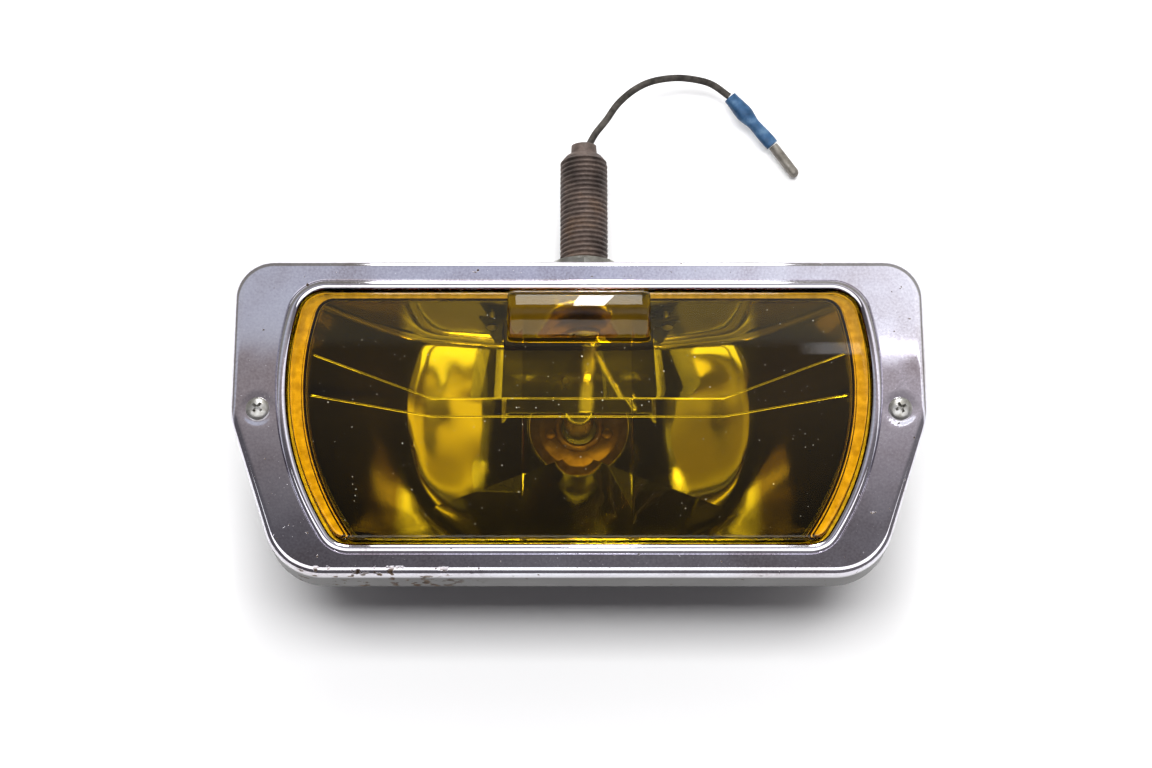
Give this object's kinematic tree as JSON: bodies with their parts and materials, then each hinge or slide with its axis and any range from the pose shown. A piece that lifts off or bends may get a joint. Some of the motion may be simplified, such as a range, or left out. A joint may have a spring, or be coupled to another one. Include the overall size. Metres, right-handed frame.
{
  "type": "fog light",
  "caption": "Rectangular automotive fog light with a yellow pressed lens, chromed bezel, tapered steel housing, halogen bulb and a hollow swivelling threaded stud with its supply wire.",
  "frame": {"origin": "middle of the housing's flat back, on which the lamp lies", "axes": "+Z out of the lens, +Y along the mounting stud, +X across the lamp's width"},
  "size_m": [0.1598, 0.1428, 0.0596],
  "materials": {
    "chrome": "old chrome plate, hazed and pitted along the lower rim",
    "yellow_glass": "glossy selective-yellow pressed glass, dusty",
    "bright_metal": "bright vacuum-aluminised",
    "clear_glass": "clear quartz glass",
    "black_paint": "satin black stove enamel",
    "zinc": "dull zinc plate",
    "screw_steel": "plated, lightly rusted in the recess",
    "dark_steel": "smooth dark sheet",
    "spring_steel": "blued spring steel",
    "old_steel": "brown, oxidised",
    "copper_steel": "tarnished copper plate",
    "brass": "tarnished",
    "rubber": "matt black",
    "black_wire": "aged wire insulation",
    "blue_plastic": "crimped insulating sleeve"
  },
  "bodies": {
    "housing": {"housing_shell": "black_paint", "housing_seal": "rubber", "stud_socket": "zinc", "swivel_gasket": "rubber", "screw_bracket_left": "zinc", "screw_bracket_right": "zinc", "screw_nut_left": "spring_steel", "screw_nut_right": "spring_steel", "inner_supply_lead": "black_wire", "supply_joint_sleeve": "blue_plastic"},
    "front_unit": {"bezel": "chrome", "lens": "yellow_glass", "lens_gasket": "rubber", "reflector": "bright_metal", "bulb_hood": "dark_steel", "hood_rivet_left": "zinc", "hood_rivet_right": "zinc", "bulb_holder": "copper_steel", "holder_rivet_left": "copper_steel", "holder_rivet_right": "copper_steel", "bulb_base": "bright_metal", "bulb_glass": "clear_glass", "bulb_filament": "spring_steel", "bulb_lead": "black_wire", "bulb_lead_bullet": "brass", "clip_eye": "zinc", "clip_catch": "zinc", "lens_clip_upper_left": "spring_steel", "lens_clip_upper_right": "spring_steel", "lens_clip_lower_left": "spring_steel", "lens_clip_lower_right": "spring_steel"},
    "bulb_clip": {"bulb_clip": "spring_steel"},
    "screw_left": {"bezel_screw_left": "screw_steel"},
    "screw_right": {"bezel_screw_right": "screw_steel"},
    "swivel_dome": {"dome_washer": "zinc"},
    "swivel_cup": {"cup_spring": "spring_steel"},
    "stud": {"mounting_stud": "old_steel", "lock_nut": "zinc", "stud_lead": "black_wire", "supply_wire": "black_wire", "connector_sleeve": "blue_plastic", "connector_pin": "old_steel"}
  },
  "joints": [
    {"name": "front_lift", "type": "slide", "parent": "housing", "child": "front_unit", "axis": [0, 0, 1], "range_m": [0, 0.045]},
    {"name": "screw_left_turn", "type": "hinge", "parent": "front_unit", "child": "screw_left", "pos_m": [-0.0735, 0.0012, 0.05], "axis": [0, 0, 1], "continuous": true},
    {"name": "screw_right_turn", "type": "hinge", "parent": "front_unit", "child": "screw_right", "pos_m": [0.0735, 0.0012, 0.05], "axis": [0, 0, 1], "continuous": true},
    {"name": "bulb_clip_swing", "type": "hinge", "parent": "front_unit", "child": "bulb_clip", "pos_m": [-0.0126, 0.0083, 0.0122], "axis": [0, 1, 0], "range_deg": [0, 18]},
    {"name": "stud_tilt", "type": "hinge", "parent": "housing", "child": "swivel_dome", "pos_m": [0.0013, 0.0385, 0.016], "axis": [1, 0, 0], "range_deg": [-12, 12]},
    {"name": "stud_lean", "type": "hinge", "parent": "swivel_dome", "child": "swivel_cup", "pos_m": [0.0013, 0.0385, 0.016], "axis": [0, 0, 1], "range_deg": [-8, 8]},
    {"name": "stud_pan", "type": "hinge", "parent": "swivel_cup", "child": "stud", "pos_m": [0.0013, 0.0385, 0.016], "axis": [0, 1, 0], "range_deg": [-90, 90]}
  ]
}
